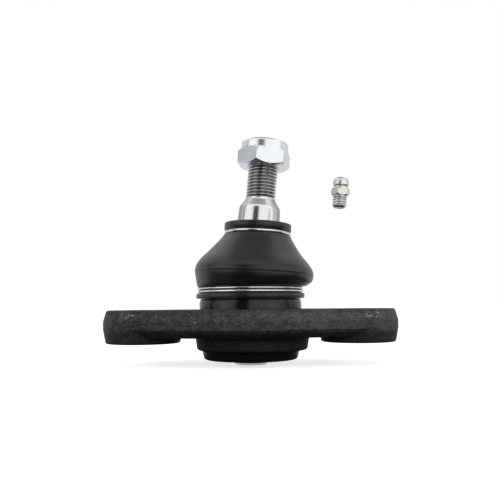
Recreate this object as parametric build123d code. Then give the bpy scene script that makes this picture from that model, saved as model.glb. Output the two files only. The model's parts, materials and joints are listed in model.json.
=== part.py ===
from build123d import *
import math
import os

# A two-bolt suspension ball joint. A forged flange carries a deep socket in its middle. The ball
# of a tapered stud turns in that socket between an upper seat and a sprung pressure cup, which a
# cover plate closes from below. A rubber boot with two wire clips seals the mouth, a lock nut
# waits on the stud's thread, and the grease nipple that comes with the joint stands apart.
#
# Millimetres. +Z runs up the socket's axis, X runs through the two bolt holes, and the origin is
# the middle of the cover plate's boss, where the joint stands.

# Clearances
overrun = 1.0
fixed_gap = 0.05
running_gap = 0.08
rubber_gap = 0.2
ball_gap = 0.2
thread_gap = 0.06

# Socket stack, from the standing face upwards
boss_projection = 2.35
rolled_rim_thickness = 1.4
cover_thickness = 1.8
spring_height = 2.4
cup_floor = 1.3
cup_hole_radius = 7.0
ball_flat_depth = 11.2
ball_radius = 13.5

seat_wall = 2.7
socket_wall = 4.75

rim_z = boss_projection
cover_bottom_z = rim_z + rolled_rim_thickness
cover_top_z = cover_bottom_z + cover_thickness
cup_bottom_z = cover_top_z + spring_height
seat_bore_radius = ball_radius + ball_gap
ball_z = cup_bottom_z + cup_floor + math.sqrt(seat_bore_radius**2 - cup_hole_radius**2)
socket_radius = seat_bore_radius + seat_wall
skirt_radius = socket_radius + socket_wall

# Flange forging
hole_pitch = 98.0
hole_radius = 6.25
hole_chamfer = 0.6
ear_radius = 18.0
waist_step = 5.13
ear_underside_z = 9.9
ear_thickness = 14.9
web_thickness = 12.0
land_height = 3.6
land_below_top = 4.9
upper_draft_deg = 16.0
lower_draft_deg = 11.0
web_chamfer_deg = 40.0
forged_edge_radius = 1.2
ear_edge_radius = 0.9

flange_top_z = ear_underside_z + ear_thickness
web_bottom_z = flange_top_z - web_thickness
land_top_z = flange_top_z - land_below_top
land_bottom_z = land_top_z - land_height

# Socket body, turned in one piece with the flange
skirt_flare = 0.9
skirt_foot_radius = 1.8
skirt_root_radius = 0.9
lower_boss_step = 2.95
lower_boss_offset = 0.7
lower_boss_draft_deg = 8.0
lower_boss_height = 6.2
lower_boss_edge = 1.5
lower_boss_root_share = 0.8
rolled_rim_hold = 4.0
neck_step = 2.1
neck_height = 4.8
neck_taper = 0.5
neck_taper_height = 1.8
boot_groove_depth = 2.45
shoulder_step = 0.4
shoulder_height = 1.3
shoulder_chamfer = 0.4
mouth_lip = 0.6
mouth_angle_deg = 28.0

skirt_top_radius = skirt_radius + skirt_flare
lower_boss_radius = skirt_top_radius + lower_boss_step
lower_boss_z = web_bottom_z - lower_boss_height
boss_root_radius = lower_boss_radius + lower_boss_height * math.tan(math.radians(lower_boss_draft_deg))
neck_radius = skirt_radius + neck_step
neck_top_z = flange_top_z + neck_height
waist_radius = boss_root_radius + waist_step
web_inset = (land_bottom_z - web_bottom_z) * math.tan(math.radians(web_chamfer_deg))
lower_boss_root = (waist_radius - web_inset - boss_root_radius) * lower_boss_root_share
boot_groove_radius = neck_radius - boot_groove_depth
shoulder_radius = boot_groove_radius + shoulder_step
mouth_radius = seat_bore_radius - mouth_lip

# Ball seats
cup_skirt_below_centre = 2.4
seat_below_centre = 1.8
seat_above_centre = 5.0

# Cover plate and its tapped hole for the grease nipple
cover_seat_depth = 1.5
cover_boss_radius = 7.4
cover_boss_slope = 2.2
cover_boss_edge = 0.4
tapped_hole_radius = 2.5
tapped_hole_chamfer = 0.5

cover_radius = socket_radius + cover_seat_depth
rolled_rim_radius = cover_radius - rolled_rim_hold

# Preload disc spring
disc_edge_gap = 0.8
disc_width = 7.1
disc_thickness = 1.2

disc_outer_radius = socket_radius - disc_edge_gap
disc_inner_radius = disc_outer_radius - disc_width

# Ball stud, heights above the ball's centre
stud_neck_radius = 7.6
stud_neck_top = 29.6
taper_base = 35.1
taper_length = 16.0
taper_small_radius = 9.4
taper_ratio = 8.0
stud_shoulder = 3.4
thread_radius = 7.0
bare_thread = 15.6
tip_recess = 1.7
tip_chamfer = 1.2
centre_drill_radius = 2.0
centre_drill_depth = 1.8

taper_large_radius = taper_small_radius + taper_length / (2 * taper_ratio)
taper_top = taper_base + taper_length
thread_start = taper_top + stud_shoulder

# The stud as it stands in the photograph
lean_right_deg = 5.35
lean_back_deg = 2.0

# Lock nut and its locking insert
nut_across_flats = 22.0
nut_hex_height = 7.6
nut_height = 12.0
nut_chamfer_deg = 30.0
nut_turned_deg = 13.4
nut_thread_chamfer = 0.7
insert_thickness = 2.3
insert_height = 2.5
nut_lip_height = 0.6
nut_lip_reach = 1.1
collar_wall = 1.6
collar_edge_radius = 1.4

nut_bottom = thread_start + bare_thread
stud_end = nut_bottom + nut_height - tip_recess
nut_bore_radius = thread_radius + thread_gap
insert_radius = nut_bore_radius + insert_thickness
nut_collar_radius = insert_radius + fixed_gap + collar_wall

# Dust boot, with its wire clips
boot_wall = 1.6
boot_lip_reach = 3.7
boot_lip_thickness = 2.2
boot_shelf = 1.2
boot_shelf_reach = 2.2
boot_bulge_reach = 2.5
boot_lip_edge = 0.4
boot_collar_wall = 5.1
boot_collar_height = 3.4
boot_collar_edge = 0.5
boot_collar_level = 38.8
boot_collar_tilt_share = 0.5
boot_shelf_follow_share = 0.15
boot_seal_depth = 2.2
lower_wire_diameter = 1.3
lower_clip_open_deg = 8.0
lower_clip_ramp_deg = 40.0
upper_wire_diameter = 1.6
upper_clip_open_deg = 10.0
clip_bite_share = 1.2

lower_wire_pitch = lower_wire_diameter + thread_gap
lower_clip_height = lower_wire_diameter + lower_wire_pitch
boot_lip_z = neck_top_z + rubber_gap
boot_lip_top_z = boot_lip_z + boot_lip_thickness
boot_skirt_z = boot_lip_top_z + lower_clip_height + rubber_gap * 2
groove_top_z = boot_skirt_z + rubber_gap
housing_top_z = groove_top_z + shoulder_height
boot_foot_bore = boot_groove_radius + rubber_gap
boot_foot_radius = boot_foot_bore + boot_wall
boot_shelf_radius = boot_foot_radius + boot_shelf_reach
boot_bulge_radius = boot_shelf_radius + boot_bulge_reach
boot_collar_radius = taper_large_radius + boot_collar_wall

# Sections of the boot between the lower clip and the collar: height as a share of the way up,
# radius as a share of the way from the collar's radius to the bulge's, and how far the section
# follows the leaning stud. All of them tip with the collar, so the bulge hangs lower on the side
# that the stud leans to.
boot_section_shares = [
    (0.14, 0.954, 0.46),
    (0.25, 0.989, 0.50),
    (0.35, 0.949, 0.49),
    (0.475, 0.780, 0.48),
    (0.605, 0.533, 0.55),
    (0.74, 0.304, 0.71),
    (0.86, 0.119, 0.86),
]

# Grease nipple, heights above the end of its thread
nipple_place = (37.8, -26.0, 67.2)
nipple_lean_deg = 5.5
nipple_turned_deg = 7.0
nipple_thread_radius = 3.0
nipple_thread_length = 5.2
nipple_tip_radius = 2.2
nipple_tip_taper = 1.0
nipple_across_flats = 7.0
nipple_hex_height = 3.3
nipple_hex_chamfer_deg = 50.0
nipple_neck_radius = 2.75
nipple_neck_height = 0.6
nipple_head_radius = 3.35
nipple_head_height = 3.9
nipple_head_bulge = 1.7
nipple_head_top_radius = 2.3
nipple_bore_radius = 1.35
nipple_mouth_radius = 0.75
nipple_mouth_depth = 0.9
nipple_ball_radius = 1.2
nipple_end_hole_radius = 0.9
nipple_end_wall = 0.8
nipple_wire_radius = 0.14
nipple_spring_turns = 5

nipple_hex_top = nipple_thread_length + nipple_hex_height
nipple_head_base = nipple_hex_top + nipple_neck_height
nipple_top = nipple_head_base + nipple_head_height
nipple_seat_z = nipple_top - nipple_mouth_depth - (nipple_bore_radius - nipple_mouth_radius)
nipple_ball_z = nipple_seat_z + nipple_bore_radius - (nipple_ball_radius + thread_gap) * math.sqrt(2)

# Frames of the leaning pieces
ball_centre = Pos(0, 0, ball_z)
stud_frame = ball_centre * Rot(0, lean_right_deg, 0) * Rot(-lean_back_deg, 0, 0)
collar_tilt = Rot(0, lean_right_deg * boot_collar_tilt_share, 0)
collar_tilt = collar_tilt * Rot(-lean_back_deg * boot_collar_tilt_share, 0, 0)
collar_centre = (stud_frame * Pos(0, 0, boot_collar_level)).position
collar_frame = Pos(*collar_centre) * collar_tilt
upper_groove_radius = boot_collar_radius - upper_wire_diameter * clip_bite_share
nipple_frame = Pos(*nipple_place) * Rot(0, nipple_lean_deg, 0)


def turned(*points):
    """A solid turned about Z from a closed outline of (radius, height) points."""
    outline = Polyline([(r, 0, z) for r, z in points], close=True)
    return revolve(make_face(outline), Axis.Z)


def turned_outline(*edges):
    """A solid turned about Z from outline edges that meet end to end."""
    return revolve(make_face(Curve() + list(edges)), Axis.Z)


def drafted(radius, bottom, height, draft_deg):
    """A round forging boss that hangs down from bottom + height and narrows by its draft."""
    narrowed = radius - height * math.tan(math.radians(draft_deg))
    return Pos(0, 0, bottom + height / 2) * Cone(narrowed, radius, height)


def hexagonal(across_flats, bottom, height, chamfer_deg):
    """A hexagon bar end, its corners turned down at both faces."""
    corner = across_flats / math.sqrt(3)
    flat = across_flats / 2
    turn_down = (corner - flat) * math.tan(math.radians(chamfer_deg))
    bar = extrude(RegularPolygon(flat, 6, major_radius=False), height)
    top = height
    turning = turned((0, 0), (flat, 0), (corner, turn_down), (corner, top - turn_down), (flat, top), (0, top))
    return Pos(0, 0, bottom) * (bar & turning)


def arc_about(centre_z, radius, start, end):
    """An arc in the XZ plane about (0, centre_z) from one angle to another, measured from +X."""
    def at(angle):
        return (radius * math.cos(angle), 0, centre_z + radius * math.sin(angle))

    return ThreePointArc(at(start), at((start + end) / 2), at(end))


def flange_outline(height, inset=0):
    """The flange seen from above: a round waist drawn out by tangents to two round ears."""
    ear = ear_radius - inset
    waist = waist_radius - inset
    reach = hole_pitch / 2
    along = (waist - ear) / reach
    across = math.sqrt(1 - along**2)

    def on_ear(side, face):
        return (side * (reach + ear * along), face * ear * across)

    def on_waist(side, face):
        return (side * waist * along, face * waist * across)

    edges = []
    for side in (1, -1):
        edges.append(ThreePointArc(on_ear(side, -side), (side * (reach + ear), 0), on_ear(side, side)))
        edges.append(Line(on_ear(side, side), on_waist(side, side)))
        edges.append(ThreePointArc(on_waist(side, side), (0, side * waist), on_waist(-side, side)))
        edges.append(Line(on_waist(-side, side), on_ear(-side, side)))
    return Pos(0, 0, height) * make_face(edges)


def flange_layer(wide_z, narrow_z, draft_deg):
    """One layer of the flange, which narrows by its draft from one height to the other."""
    inset = abs(narrow_z - wide_z) * math.tan(math.radians(draft_deg))
    return loft([flange_outline(wide_z), flange_outline(narrow_z, inset)], ruled=True)


def make_housing():
    """The forging: flange with drafted edges, ear bosses, socket body and boot groove."""
    plate = extrude(flange_outline(land_bottom_z), land_height)
    plate += flange_layer(land_top_z, flange_top_z, upper_draft_deg)
    plate += flange_layer(land_bottom_z, web_bottom_z, web_chamfer_deg)
    top_edges = plate.faces().sort_by(Axis.Z)[-1].edges()
    plate = fillet(top_edges, forged_edge_radius)

    ear_drop = land_bottom_z - ear_underside_z
    ear = drafted(ear_radius, ear_underside_z, ear_drop, lower_draft_deg)
    ear = fillet(ear.edges().sort_by(Axis.Z)[0], ear_edge_radius)
    for side in (-1, 1):
        plate += Pos(side * hole_pitch / 2, 0, 0) * ear

    body = turned(
        (0, rim_z),
        (skirt_radius, rim_z),
        (skirt_top_radius, lower_boss_z),
        (skirt_top_radius, land_bottom_z),
        (neck_radius, land_bottom_z),
        (neck_radius, neck_top_z - neck_taper_height),
        (neck_radius - neck_taper, neck_top_z),
        (boot_groove_radius, neck_top_z),
        (boot_groove_radius, groove_top_z),
        (shoulder_radius, groove_top_z),
        (shoulder_radius, housing_top_z),
        (0, housing_top_z),
    )

    def rounds_at(solid, radius, height):
        def matches(edge):
            centre = edge.center(CenterOf.BOUNDING_BOX)
            return abs(centre.Z - height) < fixed_gap and abs(edge.radius - radius) < fixed_gap

        return [e for e in solid.edges().filter_by(GeomType.CIRCLE) if matches(e)]

    body = fillet(rounds_at(body, skirt_radius, rim_z), skirt_foot_radius)
    body = chamfer(rounds_at(body, shoulder_radius, housing_top_z), shoulder_chamfer)

    mouth_z = ball_z + seat_above_centre + fixed_gap
    flare = (housing_top_z + overrun - mouth_z) * math.tan(math.radians(mouth_angle_deg))
    cavity = turned(
        (0, rim_z - overrun),
        (rolled_rim_radius, rim_z - overrun),
        (rolled_rim_radius, cover_bottom_z - fixed_gap),
        (cover_radius + fixed_gap, cover_bottom_z - fixed_gap),
        (cover_radius + fixed_gap, cover_top_z + fixed_gap),
        (socket_radius, cover_top_z + fixed_gap),
        (socket_radius, mouth_z),
        (mouth_radius, mouth_z),
        (mouth_radius + flare, housing_top_z + overrun),
        (0, housing_top_z + overrun),
    )
    drill = turned(
        (0, ear_underside_z - overrun),
        (hole_radius + hole_chamfer + overrun, ear_underside_z - overrun),
        (hole_radius, ear_underside_z + hole_chamfer),
        (hole_radius, flange_top_z - hole_chamfer),
        (hole_radius + hole_chamfer + overrun, flange_top_z + overrun),
        (0, flange_top_z + overrun),
    )
    boss = drafted(boss_root_radius, lower_boss_z, lower_boss_height, lower_boss_draft_deg)
    boss = fillet(rounds_at(boss, lower_boss_radius, lower_boss_z), lower_boss_edge)
    forging = plate + body + Pos(lower_boss_offset, 0, 0) * boss
    forging = fillet(rounds_at(forging, skirt_top_radius, lower_boss_z), skirt_root_radius)
    forging = fillet(rounds_at(forging, boss_root_radius, web_bottom_z), lower_boss_root)
    housing = forging - cavity
    for side in (-1, 1):
        housing -= Pos(side * hole_pitch / 2, 0, 0) * drill
    return housing


def make_upper_seat():
    """The plastic ring above the ball's middle, which keeps the ball in the socket."""
    lower = -math.asin(seat_below_centre / seat_bore_radius)
    upper = math.asin(seat_above_centre / seat_bore_radius)
    outer = socket_radius - fixed_gap
    sphere = arc_about(ball_z, seat_bore_radius, lower, upper)
    rest = Polyline(
        (seat_bore_radius * math.cos(upper), 0, ball_z + seat_above_centre),
        (outer, 0, ball_z + seat_above_centre),
        (outer, 0, ball_z - seat_below_centre),
        (seat_bore_radius * math.cos(lower), 0, ball_z - seat_below_centre),
    )
    return turned_outline(sphere, rest)


def make_pressure_cup():
    """The cup under the ball, which the disc spring pushes up. Grease passes its middle hole."""
    start = -math.acos(cup_hole_radius / seat_bore_radius)
    end = -math.asin(cup_skirt_below_centre / seat_bore_radius)
    outer = socket_radius - running_gap
    rim_z = ball_z - cup_skirt_below_centre
    dish = arc_about(ball_z, seat_bore_radius, start, end)
    rest = Polyline(
        (seat_bore_radius * math.cos(end), 0, rim_z),
        (outer, 0, rim_z),
        (outer, 0, cup_bottom_z),
        (cup_hole_radius, 0, cup_bottom_z),
        (cup_hole_radius, 0, cup_bottom_z + cup_floor),
    )
    return turned_outline(dish, rest)


def make_disc_spring():
    """A coned disc spring: its outer edge stands on the cover, its inner edge lifts the cup."""
    rise = spring_height - disc_thickness - fixed_gap * 2
    foot = cover_top_z + fixed_gap
    return turned(
        (disc_inner_radius, foot + rise),
        (disc_outer_radius, foot),
        (disc_outer_radius, foot + disc_thickness),
        (disc_inner_radius, foot + rise + disc_thickness),
    )


def make_cover_plate():
    """The cover that the rolled rim holds, with a tapped boss on which the joint stands."""
    cover = turned(
        (tapped_hole_radius + tapped_hole_chamfer, 0),
        (cover_boss_radius - cover_boss_edge, 0),
        (cover_boss_radius, cover_boss_edge),
        (cover_boss_radius + cover_boss_slope, cover_bottom_z),
        (cover_radius, cover_bottom_z),
        (cover_radius, cover_top_z),
        (tapped_hole_radius + tapped_hole_chamfer, cover_top_z),
        (tapped_hole_radius, cover_top_z - tapped_hole_chamfer),
        (tapped_hole_radius, tapped_hole_chamfer),
    )
    return cover


def make_ball_stud():
    """Ball, neck, 1:8 taper and threaded end, turned in one piece."""
    flat = math.asin(-ball_flat_depth / ball_radius)
    leaves = math.acos(stud_neck_radius / ball_radius)
    ball = arc_about(0, ball_radius, flat, leaves)
    neck_foot = (stud_neck_radius, 0, ball_radius * math.sin(leaves))
    neck_head = (stud_neck_radius, 0, stud_neck_top)
    flare_end = (taper_large_radius, 0, taper_base)
    flare = TangentArc(neck_head, flare_end, tangent=(0, 0, 1))
    drill_slope_end = stud_end - centre_drill_depth
    rest = Polyline(
        flare_end,
        (taper_small_radius, 0, taper_top),
        (thread_radius, 0, thread_start),
        (thread_radius, 0, stud_end - tip_chamfer),
        (thread_radius - tip_chamfer, 0, stud_end),
        (centre_drill_radius, 0, stud_end),
        (0, 0, drill_slope_end),
        (0, 0, -ball_flat_depth),
        (ball_radius * math.cos(flat), 0, -ball_flat_depth),
    )
    stud = turned_outline(ball, Line(neck_foot, neck_head), flare, rest)
    return stud_frame * stud


def make_lock_nut():
    """A hexagon nut with a round collar crimped over its locking insert."""
    nut = hexagonal(nut_across_flats, nut_bottom, nut_hex_height, nut_chamfer_deg)
    collar_height = nut_height - nut_hex_height / 2
    collar = Pos(0, 0, nut_bottom + nut_height - collar_height / 2) * Cylinder(nut_collar_radius, collar_height)
    collar = fillet(collar.edges().sort_by(Axis.Z)[-1], collar_edge_radius)
    top = nut_bottom + nut_height
    pocket_top = top - nut_lip_height
    pocket_bottom = pocket_top - insert_height - fixed_gap * 2
    bore = turned(
        (0, nut_bottom - overrun),
        (nut_bore_radius + nut_thread_chamfer + overrun, nut_bottom - overrun),
        (nut_bore_radius, nut_bottom + nut_thread_chamfer),
        (nut_bore_radius, pocket_bottom),
        (insert_radius + fixed_gap, pocket_bottom),
        (insert_radius + fixed_gap, pocket_top),
        (insert_radius - nut_lip_reach, pocket_top),
        (insert_radius - nut_lip_reach, top + overrun),
        (0, top + overrun),
    )
    return stud_frame * Rot(0, 0, nut_turned_deg) * (nut + collar - bore)


def make_nut_insert():
    """The locking ring inside the nut's collar."""
    top = nut_bottom + nut_height - nut_lip_height - fixed_gap
    ring = turned(
        (nut_bore_radius, top - insert_height),
        (insert_radius, top - insert_height),
        (insert_radius, top),
        (nut_bore_radius, top),
    )
    return stud_frame * ring


def make_dust_boot():
    """Foot lip on the housing, bulged skirt that follows the stud, and collar round the taper."""
    lip_radius = boot_foot_bore + boot_lip_reach
    foot = turned(
        (boot_foot_bore, boot_lip_z),
        (lip_radius - boot_lip_edge, boot_lip_z),
        (lip_radius, boot_lip_z + boot_lip_edge),
        (lip_radius, boot_lip_top_z - boot_lip_edge),
        (lip_radius - boot_lip_edge, boot_lip_top_z),
        (boot_foot_radius, boot_lip_top_z),
        (boot_foot_radius, boot_skirt_z),
        (boot_foot_bore, boot_skirt_z),
    )
    skirt_bore = shoulder_radius + rubber_gap
    cavity_z = boot_skirt_z + boot_shelf

    def section(base, height_share, follow_share, radius):
        height = base + (collar_centre.Z - base) * height_share
        centre = Pos(collar_centre.X * follow_share, collar_centre.Y * follow_share, height)
        return centre * collar_tilt * Circle(radius)

    shelf_x = collar_centre.X * boot_shelf_follow_share
    shelf_y = collar_centre.Y * boot_shelf_follow_share
    outer = [Pos(shelf_x, shelf_y, boot_skirt_z) * Circle(boot_shelf_radius)]
    inner = [Pos(0, 0, cavity_z) * Circle(skirt_bore)]
    for height_share, radius_share, follow_share in boot_section_shares:
        radius = boot_collar_radius + (boot_bulge_radius - boot_collar_radius) * radius_share
        outer.append(section(boot_skirt_z, height_share, follow_share, radius))
        inner.append(section(cavity_z, height_share, follow_share, radius - boot_wall))
    groove = upper_wire_diameter / 2 + rubber_gap
    collar_bottom = -groove - boot_wall / 2
    collar_bore = upper_groove_radius - boot_wall
    skirt_end = collar_frame * Pos(0, 0, collar_bottom)
    outer.append(skirt_end * Circle(boot_collar_radius))
    inner.append(skirt_end * Circle(collar_bore))

    collar_top = groove + boot_collar_height
    collar = turned(
        (0, collar_bottom),
        (boot_collar_radius, collar_bottom),
        (boot_collar_radius, -groove),
        (upper_groove_radius, -groove),
        (upper_groove_radius, groove),
        (boot_collar_radius, groove),
        (boot_collar_radius, collar_top - boot_collar_edge),
        (boot_collar_radius - boot_collar_edge, collar_top),
        (0, collar_top),
    )
    hollow = turned(
        (0, collar_bottom),
        (collar_bore, collar_bottom),
        (collar_bore, collar_top - boot_seal_depth - boot_wall / 2),
        (0, collar_top - boot_seal_depth),
    )
    taper = turned(
        (0, taper_base),
        (taper_large_radius + rubber_gap, taper_base),
        (taper_small_radius + rubber_gap, taper_top),
        (0, taper_top),
    )
    skirt = loft(outer) + collar_frame * collar
    skirt -= loft(inner) + collar_frame * hollow
    skirt -= Pos(0, 0, boot_skirt_z) * Cylinder(skirt_bore, boot_shelf * 2)
    return skirt + foot - stud_frame * taper


def make_lower_clip():
    """Two level turns of spring wire, one on the other, joined by a short ramp at the back."""
    wire = lower_wire_diameter / 2
    path_radius = boot_foot_radius + rubber_gap + wire
    base = boot_lip_top_z + rubber_gap + wire
    section = Plane.XZ * Pos(path_radius, base) * Circle(wire)
    turn = revolve(section, Axis.Z, 360 - lower_clip_ramp_deg - lower_clip_open_deg)
    ramp_pitch = lower_wire_pitch * 360 / lower_clip_ramp_deg
    ramp_path = Helix(ramp_pitch, lower_wire_pitch, path_radius, center=(0, 0, base))
    ramp = sweep(section, ramp_path, is_frenet=True)
    back = 90 - lower_clip_ramp_deg / 2
    lower_turn = Rot(0, 0, back + lower_clip_ramp_deg + lower_clip_open_deg) * turn
    upper_turn = Pos(0, 0, lower_wire_pitch) * Rot(0, 0, back + lower_clip_ramp_deg) * turn
    return lower_turn + Rot(0, 0, back) * ramp + upper_turn


def make_upper_clip():
    """One open turn of wire in the groove under the boot's collar."""
    wire = upper_wire_diameter / 2
    open_half = upper_clip_open_deg / 2
    path_radius = upper_groove_radius + rubber_gap + wire
    path = CenterArc((0, 0, 0), path_radius, 90 + open_half, 360 - upper_clip_open_deg)
    section = Plane(path @ 0, z_dir=path % 0) * Circle(wire)
    return collar_frame * sweep(section, path)


def make_nipple_body():
    """Threaded shank, hexagon, neck and a head that a grease gun grips, bored through."""
    shank = turned(
        (0, 0),
        (nipple_tip_radius, 0),
        (nipple_thread_radius, nipple_tip_taper),
        (nipple_thread_radius, nipple_thread_length),
        (0, nipple_thread_length),
    )
    hexagon = hexagonal(nipple_across_flats, nipple_thread_length, nipple_hex_height, nipple_hex_chamfer_deg)
    hexagon = Rot(0, 0, nipple_turned_deg) * hexagon
    head_side = ThreePointArc(
        (nipple_neck_radius, 0, nipple_head_base),
        (nipple_head_radius, 0, nipple_head_base + nipple_head_bulge),
        (nipple_head_top_radius, 0, nipple_top),
    )
    rest = Polyline(
        (nipple_head_top_radius, 0, nipple_top),
        (0, 0, nipple_top),
        (0, 0, nipple_hex_top),
        (nipple_neck_radius, 0, nipple_hex_top),
        (nipple_neck_radius, 0, nipple_head_base),
    )
    head = turned_outline(head_side, rest)
    bore = turned(
        (0, -overrun),
        (nipple_end_hole_radius, -overrun),
        (nipple_end_hole_radius, nipple_end_wall),
        (nipple_bore_radius, nipple_end_wall),
        (nipple_bore_radius, nipple_seat_z),
        (nipple_mouth_radius, nipple_seat_z + nipple_bore_radius - nipple_mouth_radius),
        (nipple_mouth_radius, nipple_top + overrun),
        (0, nipple_top + overrun),
    )
    return nipple_frame * (shank + hexagon + head - bore)


def make_nipple_ball():
    """The check ball, which its spring holds up against the cone below the mouth."""
    return nipple_frame * Pos(0, 0, nipple_ball_z) * Sphere(nipple_ball_radius)


def make_nipple_spring():
    """A coil spring between the bore's end wall and the ball."""
    wire = nipple_wire_radius
    foot = nipple_end_wall + fixed_gap + wire
    head = nipple_ball_z - nipple_ball_radius - fixed_gap - wire
    coil_radius = nipple_bore_radius - fixed_gap * 2 - wire
    height = head - foot
    path = Helix(height / nipple_spring_turns, height, coil_radius, center=(0, 0, foot))
    section = Plane(path @ 0, z_dir=path % 0) * Circle(wire)
    return nipple_frame * sweep(section, path)


pieces = {
    "housing_flange": make_housing,
    "upper_bearing_seat": make_upper_seat,
    "pressure_cup": make_pressure_cup,
    "preload_spring": make_disc_spring,
    "cover_plate": make_cover_plate,
    "ball_stud": make_ball_stud,
    "dust_boot": make_dust_boot,
    "lower_boot_clip": make_lower_clip,
    "upper_boot_clip": make_upper_clip,
    "lock_nut": make_lock_nut,
    "nut_locking_insert": make_nut_insert,
    "grease_nipple": make_nipple_body,
    "nipple_check_ball": make_nipple_ball,
    "nipple_spring": make_nipple_spring,
}

os.makedirs("parts", exist_ok=True)
for name, make in pieces.items():
    export_step(make(), f"parts/{name}.step")
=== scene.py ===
# %% [markdown]
# A suspension ball joint, dressed for a studio picture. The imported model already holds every
# piece at its true size, so this lesson starts by loading it. Then each step adds one finish or
# one piece that the plain solids can't show, such as threads, a rubber skin and forged scale.

# %% Load the frame
import json
import math

import bpy
from mathutils import Euler, Matrix, Vector


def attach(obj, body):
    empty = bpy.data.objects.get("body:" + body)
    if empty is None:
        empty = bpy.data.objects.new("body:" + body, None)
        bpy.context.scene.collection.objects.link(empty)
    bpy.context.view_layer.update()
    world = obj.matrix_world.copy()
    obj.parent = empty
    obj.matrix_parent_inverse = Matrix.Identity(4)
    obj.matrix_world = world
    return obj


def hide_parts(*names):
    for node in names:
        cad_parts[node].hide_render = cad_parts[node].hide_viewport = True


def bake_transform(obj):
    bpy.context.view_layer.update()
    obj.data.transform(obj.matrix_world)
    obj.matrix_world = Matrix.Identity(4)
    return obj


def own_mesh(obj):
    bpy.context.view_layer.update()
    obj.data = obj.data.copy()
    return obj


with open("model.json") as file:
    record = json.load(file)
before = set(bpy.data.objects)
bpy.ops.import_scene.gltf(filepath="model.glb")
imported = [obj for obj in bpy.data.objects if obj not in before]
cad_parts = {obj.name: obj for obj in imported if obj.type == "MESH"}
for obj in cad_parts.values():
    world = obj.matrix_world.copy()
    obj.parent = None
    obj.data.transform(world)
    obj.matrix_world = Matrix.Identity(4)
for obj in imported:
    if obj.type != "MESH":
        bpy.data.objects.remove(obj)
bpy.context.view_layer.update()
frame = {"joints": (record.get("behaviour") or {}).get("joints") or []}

mm = 0.001

# %% [markdown]
# Places come from the frame: the axes of the joints say where the ball's centre is and how the
# stud and the nipple lean. Everything that leans is modelled upright at the world's middle, and
# its matrix then carries its vertices to their place, so the object itself stays unturned.

# %% Axes and places
joints = {joint["name"]: joint for joint in frame["joints"]}
ball_centre = Vector(joints["stud_spin"]["pos_m"])
stud_axis = Vector(joints["stud_spin"]["axis"]).normalized()
nipple_axis = Vector(joints["check_ball_press"]["axis"]).normalized()


def leaning(place, axis):
    """The matrix that carries an upright piece at the middle to its place and lean."""
    right = math.atan2(axis.x, axis.z)
    back = math.asin(axis.y)
    turn = Matrix.Rotation(right, 4, "Y") @ Matrix.Rotation(-back, 4, "X")
    return Matrix.Translation(place) @ turn


nipple_place = Vector((37.8, -26.0, 67.2)) * mm
stud_frame = leaning(ball_centre, stud_axis)
nipple_frame = leaning(nipple_place, nipple_axis)
print("ball centre:", [round(c / mm, 2) for c in ball_centre])

# %% [markdown]
# The photograph was taken level with the flange, from about 0.3 m, with the horizon near the
# housing's neck. The camera stands there and tips up until the whole stud is in the frame. Its
# half degree of roll is kept, because the flange's right end stands higher in the picture.

# %% Camera
view_size_px = 500
focal_px = 640
sensor_mm = 36
camera_place = Vector((0, -294, 27.3)) * mm
camera_pitch_deg = 4.8
camera_roll_deg = 0.5
nearest_m, farthest_m = 0.01, 100

camera_data = bpy.data.cameras.new("camera")
camera_data.sensor_width = sensor_mm
camera_data.lens = focal_px / view_size_px * sensor_mm
camera_data.clip_start = nearest_m
camera_data.clip_end = farthest_m
camera = bpy.data.objects.new("camera", camera_data)
bpy.context.scene.collection.objects.link(camera)
camera.location = camera_place
looking = Euler((math.radians(90 + camera_pitch_deg), 0, 0)).to_matrix()
rolled = looking @ Matrix.Rotation(math.radians(-camera_roll_deg), 3, "Z")
camera.rotation_euler = rolled.to_euler()
bpy.context.scene.camera = camera
print("lens in mm:", camera_data.lens)

# %% [markdown]
# The round pieces, such as the stud and the boot, are turned on a lathe or moulded in a round
# die. In Blender that is an outline swept round an axis. The outline is drawn by extruding one
# point after another, at one unit to the millimetre, and Spin makes the solid from it. The
# finished mesh is then shrunk to metres and carried to its place, so its object never moves.

# %% Lathe work
weld_mm = 0.0005


def deselect():
    bpy.ops.object.select_all(action="DESELECT")


def draw_outline(name, points):
    """An open outline of (radius, height) points, drawn by extruding a single point."""
    deselect()
    bpy.ops.mesh.primitive_plane_add(size=1)
    piece = bpy.context.object
    piece.name = piece.data.name = name
    bpy.ops.object.mode_set(mode="EDIT")
    bpy.ops.mesh.select_all(action="SELECT")
    bpy.ops.mesh.merge(type="CENTER")
    radius, height = points[0]
    bpy.ops.transform.translate(value=(radius, 0, height))
    for next_radius, next_height in points[1:]:
        step = {"value": (next_radius - radius, 0, next_height - height)}
        bpy.ops.mesh.extrude_region_move(TRANSFORM_OT_translate=step)
        radius, height = next_radius, next_height
    return piece


def turn(name, points, steps=96):
    """Spin an outline about Z into a solid, close its seam and poles, and point it outwards."""
    piece = draw_outline(name, points)
    bpy.ops.mesh.select_all(action="SELECT")
    bpy.ops.mesh.spin(steps=steps, angle=math.tau, center=(0, 0, 0), axis=(0, 0, 1))
    bpy.ops.mesh.select_all(action="SELECT")
    bpy.ops.mesh.remove_doubles(threshold=weld_mm)
    bpy.ops.mesh.normals_make_consistent(inside=False)
    bpy.ops.object.mode_set(mode="OBJECT")
    return piece


def smooth(piece, angle_deg=35):
    deselect()
    piece.select_set(True)
    bpy.context.view_layer.objects.active = piece
    bpy.ops.object.shade_smooth_by_angle(angle=math.radians(angle_deg))


def put(piece, matrix=None):
    """Shrink millimetres to metres and carry the mesh to its place."""
    place = Matrix.Identity(4) if matrix is None else matrix
    piece.data.transform(place @ Matrix.Scale(mm, 4))
    piece.data.update()
    print(piece.name, "has", len(piece.data.polygons), "faces")


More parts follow.
